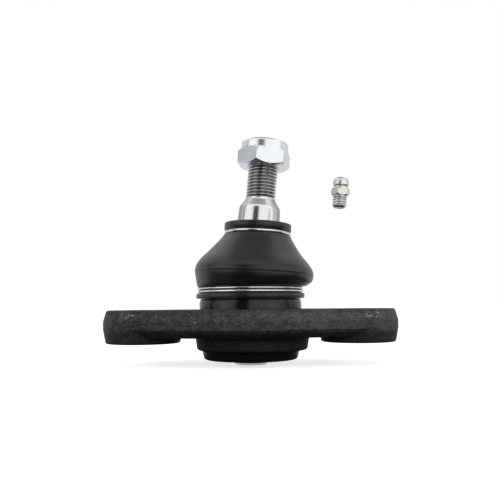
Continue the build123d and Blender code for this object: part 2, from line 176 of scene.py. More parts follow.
def stacked(start, end, step):
    """Even heights from start to end, about a step apart."""
    count = max(1, round((end - start) / step))
    return [start + (end - start) * row / count for row in range(count + 1)]


def arc(centre_radius, centre_height, radius, start_deg, end_deg, steps=6):
    """Points of an arc in an outline; 0 degrees points outwards and 90 up."""
    angles = [math.radians(start_deg + (end_deg - start_deg) * row / steps) for row in range(steps + 1)]
    return [(centre_radius + radius * math.cos(angle), centre_height + radius * math.sin(angle))
            for angle in angles]


# %% [markdown]
# A thread is a groove that climbs one pitch in each turn. The turned shank gets many close rows
# of points, and each point then moves inwards by how deep the groove is at its height and angle.
# The groove fades out at both ends, as where the cutter leaves the steel.

# %% Threads
def cut_thread(piece, radius, depth, pitch, bottom, top, fade):
    """Move a shank's points in and out along a right-handed helix, with the piece upright in mm."""
    crest, root, skin_depth = 1 / 8, 1 / 4, 0.01
    for vertex in piece.data.vertices:
        x, y, height = vertex.co
        if abs(math.hypot(x, y) - radius) > skin_depth or not bottom <= height <= top:
            continue
        phase = (height / pitch - math.atan2(y, x) / math.tau) % 1
        off_root = abs(phase - 0.5) * 2
        groove = min(1, max(0, (1 - crest - off_root) / (1 - crest - root)))
        ends = min(1, (height - bottom) / fade, (top - height) / fade)
        shrink = 1 - depth * groove * ends / radius
        vertex.co.x, vertex.co.y = x * shrink, y * shrink
    print(piece.name, "thread of pitch", pitch)


# %% [markdown]
# The ball stud is the heart of the joint: a ball, a neck, a 1:8 taper that wedges into the
# knuckle, a shoulder and a thread with a small centre hole in its end. It is turned from one bar,
# so it is one outline here too. Heights count from the ball's centre, as in the solid.

# %% Ball stud
ball_radius, ball_flat, ball_steps = 13.5, 11.2, 40
neck_radius, neck_top = 7.6, 29.6
taper_base, taper_length, taper_small, taper_on_radius = 35.1, 16.0, 9.4, 1 / 16
thread_radius, thread_pitch, thread_depth = 7.0, 1.5, 0.9
thread_row, thread_fade, tip_chamfer = 0.125, 1.2, 1.2
relief_height, free_thread, tip_below_nut_top = 3.4, 15.6, 1.7
nut_height, nut_hex_height = 12.0, 8.1

taper_top = taper_base + taper_length
thread_start = taper_top + relief_height
nut_bottom = thread_start + free_thread
stud_end = nut_bottom + nut_height - tip_below_nut_top
flat_deg = -math.degrees(math.asin(ball_flat / ball_radius))
leaves_deg = math.degrees(math.acos(neck_radius / ball_radius))
taper_large = taper_small + taper_length * taper_on_radius
flare = [(8.1, 31.8), (8.9, 33.6)]
taper_edge = [(taper_small + 0.15, -1.6), (taper_small, -0.3), (9.2, 0)]
relief_end_radius, relief_end_below = 7.35, 0.6
centre_hole = [(2.1, 0), (1.9, -0.1), (0, -1.8)]

stud_outline = [(0, -ball_flat)]
stud_outline += arc(0, 0, ball_radius, flat_deg, leaves_deg, ball_steps)
stud_outline += [(neck_radius, neck_top), *flare, (taper_large, taper_base)]
stud_outline += [(radius, taper_top + height) for radius, height in taper_edge]
stud_outline += [(relief_end_radius, thread_start - relief_end_below), (thread_radius, thread_start)]
thread_rows = stacked(thread_start + 0.2, stud_end - tip_chamfer, thread_row)
stud_outline += [(thread_radius, row) for row in thread_rows]
stud_outline += [(thread_radius - tip_chamfer, stud_end)]
stud_outline += [(radius, stud_end + height) for radius, height in centre_hole]
ball_stud = turn("turned_stud", stud_outline)
cut_from, cut_to = thread_start + 0.3, stud_end - 0.6
cut_thread(ball_stud, thread_radius, thread_depth, thread_pitch, cut_from, cut_to, thread_fade)
smooth(ball_stud, 40)
put(ball_stud, stud_frame)
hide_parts("ball_stud")
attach(ball_stud, "stud")

# %% [markdown]
# The lock nut starts as a six-sided bar. On the real one a lathe tool turns its corners down at
# both faces, which leaves a curve on each flat, so here the bar is intersected with a turned
# bead. A round collar then joins it on top, the bore goes through both, and every edge gets the
# small bevel that a plated part has and that catches the light.

# %% Lock nut
across_flats, corner_turn_down, nut_turned_deg = 22.0, 1.6, 13.4
collar_radius, collar_edge, collar_sunk = 11.06, 1.5, 0.4
bore_radius, mouth_radius, mouth_depth = 7.06, 8.8, 0.7
pocket_radius, pocket_depth = 9.41, 3.2
lip_radius, lip_edge, lip_thickness = 8.3, 0.3, 0.6
plated_edge = 0.22
tool_past, tool_margin, fine_steps = 1, 0.1, 144


def take(piece, tool, operation):
    """Join, cut or intersect a piece with a tool, which is then thrown away."""
    step = piece.modifiers.new("step", "BOOLEAN")
    step.operation, step.object, step.solver = operation, tool, "EXACT"
    deselect()
    bpy.context.view_layer.objects.active = piece
    bpy.ops.object.modifier_apply(modifier="step")
    bpy.data.objects.remove(tool)


def soften(piece, width, segments=2, angle_deg=25):
    """Bevel the edges that are sharper than an angle."""
    step = piece.modifiers.new("soften", "BEVEL")
    step.width, step.segments, step.limit_method = width, segments, "ANGLE"
    step.angle_limit = math.radians(angle_deg)
    deselect()
    bpy.context.view_layer.objects.active = piece
    bpy.ops.object.modifier_apply(modifier="soften")


def hex_bar(name, flats, bottom, height, turn_down, turned_deg=0):
    """A hexagon whose corners are turned down to its faces, with its middle on the axis."""
    corner = flats / math.sqrt(3)
    deselect()
    bpy.ops.mesh.primitive_cylinder_add(vertices=6, radius=corner, depth=height, location=(0, 0, 0))
    bar = bpy.context.object
    bar.name = bar.data.name = name
    first = bar.data.vertices[0].co
    lined_up = Matrix.Rotation(math.radians(turned_deg) - math.atan2(first.y, first.x), 4, "Z")
    bar.data.transform(Matrix.Translation((0, 0, bottom + height / 2)) @ lined_up)
    top = bottom + height
    face, beyond = flats / 2 - tool_margin, corner + tool_margin
    bead = [(0, bottom), (face, bottom), (beyond, bottom + turn_down)]
    bead += [(beyond, top - turn_down), (face, top), (0, top)]
    take(bar, turn("bead", bead, fine_steps), "INTERSECT")
    return bar


lock_nut = hex_bar(
    "plated_lock_nut", across_flats, nut_bottom, nut_hex_height, corner_turn_down, nut_turned_deg
)
nut_top = nut_bottom + nut_height
collar_base = nut_bottom + nut_hex_height - collar_sunk
collar = [(0, collar_base), (collar_radius, collar_base), (collar_radius, nut_top - collar_edge)]
collar += arc(collar_radius - collar_edge, nut_top - collar_edge, collar_edge, 10, 90, 7)
collar += [(lip_radius + lip_edge, nut_top), (0, nut_top)]
take(lock_nut, turn("collar", collar, fine_steps), "UNION")
bore = [(0, nut_bottom - tool_past), (mouth_radius, nut_bottom - tool_past)]
bore += [(bore_radius, nut_bottom + mouth_depth), (bore_radius, nut_top - pocket_depth)]
bore += [(pocket_radius, nut_top - pocket_depth), (pocket_radius, nut_top - lip_thickness)]
bore += [(lip_radius, nut_top - lip_thickness), (lip_radius, nut_top + tool_past), (0, nut_top + tool_past)]
take(lock_nut, turn("bore", bore), "DIFFERENCE")
soften(lock_nut, plated_edge)
smooth(lock_nut, 30)
put(lock_nut, stud_frame)
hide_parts("lock_nut")
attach(lock_nut, "nut")

# %% [markdown]
# The dust boot is moulded rubber. Its foot sits in a groove round the socket, its skirt bulges
# so that the stud can swing, and its collar grips the stud. The skirt leans with the stud. Its
# outline comes from the same sections as the solid: a smooth curve through them is spun, and each
# ring of points then slides and tips towards the leaning stud by its share. The boot is made in
# two halves that meet at the mould's seam.

# %% Boot outline
foot_bore, foot_radius, boot_wall = 21.0, 22.6, 1.6
lip_bottom, lip_top, skirt_base = 29.8, 32.0, 35.06
shelf_radius, bulge_radius = 24.8, 27.3
cavity_base, skirt_bore = 36.26, 21.4
collar_level, boot_collar_radius, clip_groove_radius = 38.8, 15.5, 13.58
collar_place = stud_frame @ Vector((0, 0, collar_level * mm)) / mm
collar_z = collar_place.z
boot_lean_share, shelf_follow_share = 0.5, 0.15
# Each section has its share of the height, of the bulge and of the way to the stud's axis.
boot_section_shares = [
    (0.14, 0.954, 0.46),
    (0.25, 0.989, 0.50),
    (0.35, 0.949, 0.49),
    (0.475, 0.780, 0.48),
    (0.605, 0.533, 0.55),
    (0.74, 0.304, 0.71),
    (0.86, 0.119, 0.86),
]


def curve_through(knots, spot):
    """A smooth curve through (place, value) knots, read at one place."""
    last = len(knots) - 1
    left = max(row for row in range(last) if row == 0 or knots[row][0] <= spot)
    (x0, y0), (x1, y1) = knots[left], knots[left + 1]

    def slope(row):
        low, high = max(row - 1, 0), min(row + 1, last)
        return (knots[high][1] - knots[low][1]) / (knots[high][0] - knots[low][0])

    width = x1 - x0
    t = min(1, max(0, (spot - x0) / width))
    rise = (2 * t - 3) * t * t
    return (y0 * (1 + rise) - y1 * rise
            + slope(left) * width * t * (t - 1) ** 2 + slope(left + 1) * width * t * t * (t - 1))


shelf_share = (shelf_radius - boot_collar_radius) / (bulge_radius - boot_collar_radius)
radius_knots = [(0, shelf_share)] + [(h, r) for h, r, _ in boot_section_shares] + [(0.94, 0.01), (1.0, 0.0)]
follow_knots = [(0, shelf_follow_share)] + [(h, follow) for h, _, follow in boot_section_shares] + [(1, 1)]


def skin_radius(share):
    return boot_collar_radius + (bulge_radius - boot_collar_radius) * curve_through(radius_knots, share)


def height_at(share, base=skirt_base):
    return base + (collar_z - base) * share


# %% Boot halves
seam, ridge, ridge_half, ridge_flat, ridge_foot = 41.4, 0.16, 0.35, 0.12, 0.02
foot_lip_width, foot_lip_edge, clip_seat_edge = 3.7, 0.45, 0.3
shelf_edge, shelf_lift, shelf_inset, cavity_step = 0.5, 0.15, 0.1, 0.1
skin_step, inside_step, skirt_start_share = 0.4, 1.2, 0.02
tip_grows_over, stud_hole_reach, foot_room, level_room = 0.12, 11.4, 0.5, 0.1
groove_half, groove_edge, groove_chamfer = 1.0, 0.1, 0.2
collar_top, collar_round, collar_root = 4.4, 0.5, 1.8
hole_play, hole_flare, hole_foot, hole_edge = 0.2, 0.4, 1.4, 0.1
under_collar, under_root = 11.92, 11.98
round_steps = 128

skin_height, inside_height = collar_z - skirt_base, collar_z - cavity_base
seam_share, seam_share_inside = (seam - skirt_base) / skin_height, (seam - cavity_base) / inside_height
collar_share, collar_share_inside = 1 - collar_root / skin_height, 1 - collar_root / inside_height


def skin(start_share, end_share, base=skirt_base, wall=0.0, step=skin_step):
    """Points up a skin from one share of the height to another."""
    rows = stacked(height_at(start_share, base), height_at(end_share, base), step)
    return [(skin_radius((row - base) / (collar_z - base)) - wall, row) for row in rows]


def collar_tip(size, share=1.0):
    """The boot's share of the stud's lean, or a part of it, as a matrix."""
    right = math.atan2(stud_axis.x, stud_axis.z) * boot_lean_share
    back = math.asin(stud_axis.y) * boot_lean_share
    return Matrix.Rotation(right * share, size, "Y") @ Matrix.Rotation(-back * share, size, "X")


def lean_with_stud(piece):
    """Slide and tip each ring of the upright boot towards the leaning stud."""
    for vertex in piece.data.vertices:
        share = (vertex.co.z - skirt_base) / skin_height
        beside_foot = vertex.co.xy.length < foot_radius + foot_room
        if share < 0 or beside_foot and vertex.co.z < cavity_base + level_room:
            continue
        tip = collar_tip(3, min(1, share / tip_grows_over))
        ring = Vector((vertex.co.x, vertex.co.y, 0))
        if share < 1:
            follow = curve_through(follow_knots, share)
            middle = Vector((collar_place.x * follow, collar_place.y * follow, vertex.co.z))
        elif ring.length < stud_hole_reach:
            middle = collar_place + stud_axis * (vertex.co.z - collar_z)
        else:
            middle = collar_place + tip @ Vector((0, 0, vertex.co.z - collar_z))
        vertex.co = middle + tip @ ring


lip_reach = foot_bore + foot_lip_width - foot_lip_edge
boot_foot = [(foot_bore, lip_bottom), (lip_reach, lip_bottom)]
boot_foot += arc(lip_reach, lip_bottom + foot_lip_edge, foot_lip_edge, -90, 0, 4)
boot_foot += arc(lip_reach, lip_top - foot_lip_edge, foot_lip_edge, 0, 90, 4)
boot_foot += [(foot_radius + clip_seat_edge, lip_top), (foot_radius, lip_top + clip_seat_edge)]
boot_foot += [(foot_radius, skirt_base - clip_seat_edge), (foot_radius + clip_seat_edge, skirt_base)]
boot_foot += [(shelf_radius - shelf_edge, skirt_base)]
boot_foot += [(shelf_radius - shelf_inset, skirt_base + shelf_lift)]
lower_skin = skin(skirt_start_share, seam_share)
seam_radius = lower_skin[-1][0]
lower_skin = [(radius, row) for radius, row in lower_skin if row < seam - ridge_half]
lower_skin += [(seam_radius + ridge_foot, seam - ridge_half), (seam_radius + ridge, seam - ridge_flat)]
lower_skin += [(seam_radius + ridge, seam)]
inside_down = skin(0.0, seam_share_inside, cavity_base, boot_wall, inside_step)[1:][::-1]
cavity_foot = [(skirt_bore, cavity_base), (skirt_bore, skirt_base + cavity_step), (foot_bore, skirt_base)]
lower_outline = boot_foot + lower_skin + inside_down + cavity_foot + [(foot_bore, lip_bottom)]
boot_lower = turn("boot_skirt", lower_outline, round_steps)

upper_skin = [(seam_radius + ridge, seam), (seam_radius + ridge * 0.9, seam + ridge_flat)]
upper_skin += [(radius, row) for radius, row in skin(seam_share, collar_share) if row > seam + ridge_half]
boot_collar = [(boot_collar_radius, -groove_half - groove_edge)]
boot_collar += [(boot_collar_radius - groove_edge, -groove_half)]
boot_collar += [(clip_groove_radius, -groove_half), (clip_groove_radius, groove_half)]
boot_collar += [(boot_collar_radius - groove_chamfer, groove_half)]
boot_collar += [(boot_collar_radius, groove_half + groove_chamfer)]
boot_collar += arc(boot_collar_radius - collar_round, collar_top - collar_round, collar_round, 0, 90, 4)
hole_top, hole_bottom = [
    taper_small + (taper_top - collar_level - row) * taper_on_radius + hole_play
    for row in (collar_top, hole_foot)
]
boot_collar += [(hole_top + hole_flare, collar_top), (hole_top, collar_top - hole_flare)]
boot_collar += [(hole_bottom, hole_foot + hole_edge)]
boot_collar += [(under_collar, hole_foot), (under_root, -collar_root)]
upper_inside = skin(seam_share_inside, collar_share_inside, cavity_base, boot_wall, inside_step)[::-1]
upper_outline = upper_skin + [(radius, collar_z + height) for radius, height in boot_collar]
upper_outline += upper_inside[1:] + [upper_skin[0]]
boot_upper = turn("boot_shoulder", upper_outline, round_steps)

for half in (boot_lower, boot_upper):
    lean_with_stud(half)
    smooth(half, 50)
    put(half)
    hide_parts("dust_boot")
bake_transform(boot_lower)
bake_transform(boot_upper)

# %% [markdown]
# Two spring wires hold the boot. The lower one runs twice round the foot, with a short ramp at
# the back from one turn to the other, and the upper one is an open ring in the collar's groove.
# A wire is a path with thickness, so each is a curve with a round bevel that becomes a mesh.

# %% Boot clips
def wire(name, path, radius):
    """A round wire along a path of points in mm, with closed ends."""
    data = bpy.data.curves.new(name, "CURVE")
    data.dimensions = "3D"
    data.bevel_depth = radius
    data.bevel_resolution = 4
    data.use_fill_caps = True
    line = data.splines.new("POLY")
    line.points.add(len(path) - 1)
    for point, place in zip(line.points, path):
        point.co = (*place, 1)
    piece = bpy.data.objects.new(name, data)
    bpy.context.scene.collection.objects.link(piece)
    deselect()
    piece.select_set(True)
    bpy.context.view_layer.objects.active = piece
    bpy.ops.object.convert(target="MESH")
    piece = bpy.context.object
    bpy.ops.object.mode_set(mode="EDIT")
    bpy.ops.mesh.select_all(action="SELECT")
    bpy.ops.mesh.remove_doubles(threshold=weld_mm)
    bpy.ops.mesh.normals_make_consistent(inside=False)
    bpy.ops.object.mode_set(mode="OBJECT")
    smooth(piece, 60)
    return piece


def ring_point(radius, angle_deg, height):
    angle = math.radians(angle_deg)
    return (radius * math.cos(angle), radius * math.sin(angle), height)


clip_play, wire_step_deg, ramp_step_deg = 0.2, 3, 4
lower_wire, lower_pitch = 0.65, 1.36
lower_path_radius = foot_radius + clip_play + lower_wire
lower_base = lip_top + clip_play + lower_wire
ramp_start, ramp_deg, open_deg = 70, 40, 8
turn_deg = 360 - ramp_deg - open_deg
lower_path = [ring_point(lower_path_radius, ramp_start - turn_deg + step, lower_base)
              for step in range(0, turn_deg, wire_step_deg)]
for step in range(0, ramp_deg + 1, ramp_step_deg):
    ease = (1 - math.cos(math.pi * step / ramp_deg)) / 2
    lower_path.append(ring_point(lower_path_radius, ramp_start + step, lower_base + lower_pitch * ease))
lower_path += [ring_point(lower_path_radius, ramp_start + ramp_deg + step, lower_base + lower_pitch)
               for step in range(wire_step_deg, turn_deg + 1, wire_step_deg)]
lower_clip = wire("lower_clip_wire", lower_path, lower_wire)
put(lower_clip)
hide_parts("lower_boot_clip")
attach(lower_clip, "housing")

upper_wire, upper_start_deg, upper_arc_deg = 0.8, 95, 350
upper_path = [ring_point(clip_groove_radius + clip_play + upper_wire, upper_start_deg + step, 0)
              for step in range(0, upper_arc_deg + 1, wire_step_deg)]
upper_clip = wire("upper_clip_wire", upper_path, upper_wire)
put(upper_clip, Matrix.Translation(collar_place * mm) @ collar_tip(4))
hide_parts("upper_boot_clip")
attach(upper_clip, "boot_top")

# %% [markdown]
# The grease nipple comes loose with the joint, to be screwed into the cover. It is a small
# turned body with a hexagon, a waist and a rounded head that a grease gun grips. The shank, the
# hexagon and the head are made one by one and joined, and the bore lets the check ball show.

# %% Grease nipple
shank_length, hex_height, waist_height, head_height = 5.2, 3.3, 0.6, 3.9
shank_radius, shank_neck, shank_tip, shank_steps = 3.0, 2.65, 2.2, 64
shank_lead_in, shank_row, shank_run_out, shank_neck_height, shank_sunk = 1.0, 0.1, 0.7, 0.5, 0.2
nipple_flats, nipple_turn_down, nipple_turned_deg = 7.0, 1.0, 7.0
nipple_waist, waist_flare, head_sunk = 2.75, 0.05, 0.3
nipple_crown, crown_edge, crown_edge_height = 2.2, 0.2, 0.1
passage, chamber, chamber_floor, cone_depth = 0.9, 1.35, 0.8, 1.5
seat, seat_depth, countersink, countersink_depth = 0.75, 0.9, 1.1, 0.2
hex_top = shank_length + hex_height
head_base = hex_top + waist_height
nipple_top = head_base + head_height
shank_top = shank_length + shank_sunk

shank = [(0, 0), (shank_tip, 0), (shank_radius, shank_lead_in)]
shank_rows = stacked(shank_lead_in + shank_row, shank_length - shank_run_out, shank_row)
shank += [(shank_radius, row) for row in shank_rows]
shank += [(shank_neck, shank_length - shank_neck_height), (shank_neck, shank_top), (0, shank_top)]
nipple = turn("plated_nipple", shank, shank_steps)
cut_thread(nipple, shank_radius, depth=0.24, pitch=1.0, bottom=0.9, top=shank_length - 0.6, fade=0.5)
nipple_hex = hex_bar(
    "nipple_hex", nipple_flats, shank_length, hex_height, nipple_turn_down, nipple_turned_deg
)
take(nipple, nipple_hex, "UNION")
head_curve = [(3.08, 0.25), (3.26, 0.6), (3.34, 1.0), (3.35, 1.6), (3.28, 2.4), (3.08, 3.0), (2.75, 3.5)]
head = [(0, hex_top - head_sunk), (nipple_waist + waist_flare, hex_top - head_sunk), (nipple_waist, hex_top)]
head += [(nipple_waist, head_base)] + [(radius, head_base + height) for radius, height in head_curve]
head += [(nipple_crown + crown_edge, nipple_top - crown_edge_height)]
head += [(nipple_crown, nipple_top), (0, nipple_top)]
take(nipple, turn("nipple_head", head, shank_steps), "UNION")
drill = [(0, -tool_past), (passage, -tool_past), (passage, chamber_floor), (chamber, chamber_floor)]
drill += [(chamber, nipple_top - cone_depth), (seat, nipple_top - seat_depth)]
drill += [(seat, nipple_top - countersink_depth), (countersink, nipple_top + countersink_depth)]
drill += [(0, nipple_top + countersink_depth)]
take(nipple, turn("nipple_drill", drill, 48), "DIFFERENCE")
smooth(nipple, 35)
put(nipple, nipple_frame)
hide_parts("grease_nipple")
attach(nipple, "housing")

# %% [markdown]
# Two springs work out of sight: a coned disc spring lifts the cup under the ball, and a thin coil
# holds up the nipple's check ball. A spring shortens when the piece on it moves. Both are made
# here, each with a mesh of its own.

# %% Springs
disc_inner, disc_outer, disc_foot, disc_rise, disc_thickness, disc_edge = 8.5, 15.6, 5.6, 1.1, 1.2, 0.1
disc_inner_foot = disc_foot + disc_rise
disc_outer_top, disc_inner_top = disc_foot + disc_thickness, disc_inner_foot + disc_thickness
disc_outline = [(disc_inner, disc_inner_foot), (disc_outer - disc_edge, disc_foot)]
disc_outline += [(disc_outer, disc_foot + disc_edge), (disc_outer, disc_outer_top - disc_edge)]
disc_outline += [(disc_outer - disc_edge, disc_outer_top), (disc_inner + disc_edge, disc_inner_top)]
disc_outline += [(disc_inner, disc_inner_top - disc_edge), (disc_inner, disc_inner_foot)]
disc_spring = turn("disc_spring", disc_outline)
smooth(disc_spring, 30)
put(disc_spring)
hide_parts("preload_spring")
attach(disc_spring, "housing")
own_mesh(disc_spring)

coil_radius, coil_wire, coil_foot, coil_head, coil_turns = 1.11, 0.14, 0.99, 9.67, 5
steps_a_turn = 24
coil_rise = (coil_head - coil_foot) / (coil_turns * steps_a_turn)
coil_path = [ring_point(coil_radius, step * 360 / steps_a_turn, coil_foot + coil_rise * step)
             for step in range(coil_turns * steps_a_turn + 1)]
coil_spring = wire("check_coil_spring", coil_path, coil_wire)
put(coil_spring, nipple_frame)
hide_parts("nipple_spring")
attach(coil_spring, "housing")
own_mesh(coil_spring)

# %% [markdown]
# A finish is a small calculation on each point of a surface. Nodes do that sum, but a page of
# nodes is hard to read, so one small class lets a socket be added and multiplied like a number.
# Every other node comes from one method that takes its type, its settings and its inputs.

# %% A socket that counts
class Value:
    """One output of a node, which adds and multiplies like a number."""

    def __init__(self, paint, socket):
        self.paint = paint
        self.socket = socket

    def math(self, operation, first, second):
        return self.paint.node("Math", {"operation": operation}, {0: first, 1: second})

    def __add__(self, other):
        return self.math("ADD", self, other)

    def __sub__(self, other):
        return self.math("SUBTRACT", self, other)

    def __rsub__(self, other):
        return self.math("SUBTRACT", other, self)

    def __mul__(self, other):
        return self.math("MULTIPLY", self, other)

    def __pow__(self, other):
        return self.math("POWER", self, other)

    __radd__ = __add__
    __rmul__ = __mul__

    def of(self, operation, other=0.0):
        return self.math(operation, self, other)


# %% A material to paint with
class Paint:
    """A material and the nodes that colour it."""

    def __init__(self, name):
        self.material = bpy.data.materials.new(name)
        self.material.use_nodes = True
        self.tree = self.material.node_tree
        self.shader = self.tree.nodes["Principled BSDF"]

    def node(self, kind, settings=None, values=None, output=0):
        node = self.tree.nodes.new("ShaderNode" + kind)
        for name, setting in (settings or {}).items():
            setattr(node, name, setting)
        for key, value in (values or {}).items():
            self.feed(node.inputs[key], value)
        return Value(self, node.outputs[output])

    def feed(self, socket, value):
        if isinstance(value, Value):
            self.tree.links.new(value.socket, socket)
        else:
            socket.default_value = value

    def place(self, matrix=None):
        """Object coordinates in metres, seen from a leaning piece's own frame if one is given."""
        spot = self.node("TexCoord", output="Object")
        if matrix is None:
            return spot
        values = {"Vector": spot, "Location": matrix.translation, "Rotation": matrix.to_euler()}
        return self.node("Mapping", {"vector_type": "TEXTURE"}, values)

    def parts(self, vector):
        """The three numbers of a vector."""
        split = self.node("SeparateXYZ", values={0: vector})
        outputs = split.socket.node.outputs
        return [Value(self, outputs[axis]) for axis in range(3)]

    def stretch(self, vector, sizes):
        return self.node("VectorMath", {"operation": "MULTIPLY"}, {0: vector, 1: sizes})

    def noise(self, vector, size_mm, detail=2.0, roughness=0.5):
        values = {"Vector": vector, "Scale": 1 / (size_mm * mm), "Detail": detail, "Roughness": roughness}
        return self.node("TexNoise", values=values)

    def cells(self, vector, size_mm):
        """How far each point is from the middle of the cell that holds it."""
        values = {"Vector": vector, "Scale": 1 / (size_mm * mm)}
        return self.node("TexVoronoi", {"feature": "F1"}, values, "Distance")

    def rise(self, value, low, high):
        """0 below low and 1 above high, with a soft step between."""
        values = {"Value": value, "From Min": low, "From Max": high}
        return self.node("MapRange", {"interpolation_type": "SMOOTHSTEP"}, values)

    def mix(self, factor, first, second):
        """A colour between two, each a colour or a grey level."""
        values = {0: factor, 6: self.colour(first), 7: self.colour(second)}
        return self.node("Mix", {"data_type": "RGBA"}, values, 2)

    def colour(self, value):
        if isinstance(value, (int, float)):
            return (value, value, value, 1)
        return value if isinstance(value, Value) else (*value, 1)

    def bump(self, height, depth_mm, strength=1.0, under=None):
        values = {"Strength": strength, "Distance": depth_mm * mm, "Height": height}
        if under is not None:
            values["Normal"] = under
        return self.node("Bump", values=values)

    def finish(self, **inputs):
        for name, value in inputs.items():
            socket = self.shader.inputs[name.replace("_", " ")]
            self.feed(socket, self.colour(value) if name == "Base_Color" else value)
        return self.material


def between(low, high, share):
    """A value or a number part of the way from low to high."""
    return share * (high - low) + low


def radius_of(x, y):
    return (x * x + y * y) ** 0.5


def dress(node, material):
    """Put a finish on a piece that came from the frame, without touching its shape."""
    for slot in bpy.data.objects[node].material_slots:
        slot.material = material
    print(node, "wears", material.name)


def coat(piece, material):
    """Put a finish on a piece that was made here."""
    piece.data.materials.clear()
    piece.data.materials.append(material)
    print(piece.name, "wears", material.name)


# %% [markdown]
# The flange is a forging. Hot steel is pressed into a die, the flash is trimmed and the part is
# shot-blasted and darkened, so its skin is a fine matt grain with small dents and a few bright
# nicks. The neck is then turned on a lathe and the rim is rolled over the cover. All this is one
# piece, so one material tells the zones apart by their distance from the axis and their height.
# Light and shade are painted into the skin's grey as well: it is painted lighter to the right and
# at the left end, and painted darker on its top and underneath.

# %% Forged and machined steel
flange_top, neck_reach = 24.75, 23.75
rim_top, rim_reach = 10.0, 22.9
hole_pitch, hole_reach = 98.0, 6.98
# Painted light: the skin is painted darker at the left end and lighter at the right end.
painted_shade_end, painted_light_end, painted_light_left_edge = -60, 40, -58
scuff_height, scuff_place = 22.4, 52.5
web_bottom, waist_reach = 15.8, 36

forged = Paint("forged_skin")
spot = forged.place()
x, y, z = forged.parts(spot)
from_axis = radius_of(x, y)
from_hole = radius_of(x.of("ABSOLUTE") - hole_pitch / 2 * mm, y)

neck = forged.rise(z, flange_top * mm, (flange_top + 0.2) * mm)
neck = neck * forged.rise(from_axis, neck_reach * mm, (neck_reach - 0.3) * mm)
rim = forged.rise(z, rim_top * mm, (rim_top - 0.4) * mm)
rim = rim * forged.rise(from_axis, rim_reach * mm, (rim_reach - 0.6) * mm)
drilled = forged.rise(from_hole, hole_reach * mm, (hole_reach - 0.08) * mm)
machined = (neck + drilled).of("MINIMUM", 1.0)
skin = 1 - (machined + rim).of("MINIMUM", 1.0)

grain = forged.noise(spot, 0.6, 4.0, 0.8)
blast = forged.cells(spot, 0.8)
clouds = forged.noise(spot, 3.0, 4.0, 0.65)
patches = forged.noise(spot, 9.0, 3.0, 0.55)
mottle = forged.noise(forged.stretch(spot, (0.6, 1, 1.3)), 1.5, 2.0, 0.6)
scuffs = forged.noise(forged.stretch(spot, (0.5, 1, 1.5)), 1.3, 3.0, 0.7)
nicks = forged.rise(forged.cells(forged.stretch(spot, (0.6, 1, 1)), 2.4), 0.16, 0.08)
nicks = nicks * forged.rise(forged.noise(spot, 16.0), 0.55, 0.62)

# Painted light: a mask that runs from the painted shade at the left to the painted light at the right.
painted_light_from_right = forged.rise(x, painted_shade_end * mm, painted_light_end * mm)
# Painted light: the left end of the flange is painted lighter.
painted_light_left_end = forged.rise(x, painted_light_left_edge * mm, (painted_light_left_edge - 7) * mm)
beside_rim = forged.rise((z - scuff_height * mm).of("ABSOLUTE"), 1.8 * mm, 0.7 * mm)
on_ears = forged.rise((x.of("ABSOLUTE") - scuff_place * mm).of("ABSOLUTE"), 5 * mm, 2 * mm)
# Painted shade: the top of the flange is painted darker.
painted_shade_top_edge = forged.rise(z, 22.6 * mm, 24.4 * mm)
# Painted shade: the underside is painted darker, most near the axis and towards the right.
painted_underside_shade = forged.rise(z, web_bottom * mm, (web_bottom - 1.6) * mm)
middle = forged.rise(from_axis, waist_reach * mm, (waist_reach - 5) * mm)
underside_shade_share = between(between(0.5, 0.68, painted_light_from_right), 0.85, middle)

# Each layer has where it lies, how much of it shows there and its grey.
layers = [
    # Painted light: the left end is lightened.
    (painted_light_left_end, 0.22, 0.12),
    (forged.rise(clouds, 0.5, 0.75), 0.6, 0.12),
    (forged.rise(clouds, 0.45, 0.25), 0.7, 0.01),
    (forged.rise(mottle, 0.5, 0.36), 0.6, 0.012),
    (forged.rise(mottle, 0.5, 0.66), 0.4, 0.15),
    (forged.rise(grain, 0.5, 0.32), 0.5, 0.012),
    (forged.rise(grain, 0.5, 0.72), 0.75, 0.19),
    (nicks, 0.6, 0.4),
    (beside_rim * on_ears * forged.rise(scuffs, 0.5, 0.6), 0.8, 0.4),
    # Painted shade: the top of the flange is darkened.
    (painted_shade_top_edge, 0.3, 0.008),
    # Painted shade: the underside is darkened.
    (painted_underside_shade, underside_shade_share, 0.008),
]
# The skin's two tones are painted darker at the left and lighter at the right, as painted light.
dark_skin, light_skin = between(0.026, 0.064, painted_light_from_right), between(0.048, 0.115, painted_light_from_right)
skin_grey = forged.mix(forged.rise(patches, 0.3, 0.7), dark_skin, light_skin)
for lies_on, share, grey in layers:
    skin_grey = forged.mix(lies_on * share, skin_grey, grey)
turned_grey = forged.mix(forged.noise(forged.stretch(spot, (0.2, 0.2, 6)), 2.0), 0.018, 0.06)
zone_grey = forged.mix(machined, skin_grey, turned_grey)
zone_grey = forged.mix(rim, zone_grey, 0.01)

turning_marks = forged.noise(forged.stretch(spot, (0.05, 0.05, 8)), 1.5, 1.0)
relief = skin * grain + machined * turning_marks * 0.05
forged_steel = forged.finish(
    Base_Color=zone_grey,
    Metallic=between(0.35, 0.8, machined),
    Roughness=between(between(0.6, 0.36, rim), 0.16, machined),
    Normal=forged.bump(relief, 0.4, 0.9, forged.bump(skin * blast, 0.2, 0.6)),
)
dress("housing_flange", forged_steel)

# %% [markdown]
# The stud is bright turned steel. Its marks run round it, so its grain is stretched round the
# axis and close along it. Painted shade darkens it where it turns away, and the thread's roots
# are painted dark as shade.

# %% Turned steel
turned_paint = Paint("turned_steel")
spot = turned_paint.place(stud_frame)
x, y, z = turned_paint.parts(spot)
rings = turned_paint.noise(turned_paint.stretch(spot, (0.03, 0.03, 1)), 0.22, 2.0, 0.6)
smudges = turned_paint.noise(spot, 5.0, 3.0, 0.6)
on_thread = turned_paint.rise(z, (thread_start - 0.2) * mm, (thread_start + 0.4) * mm)
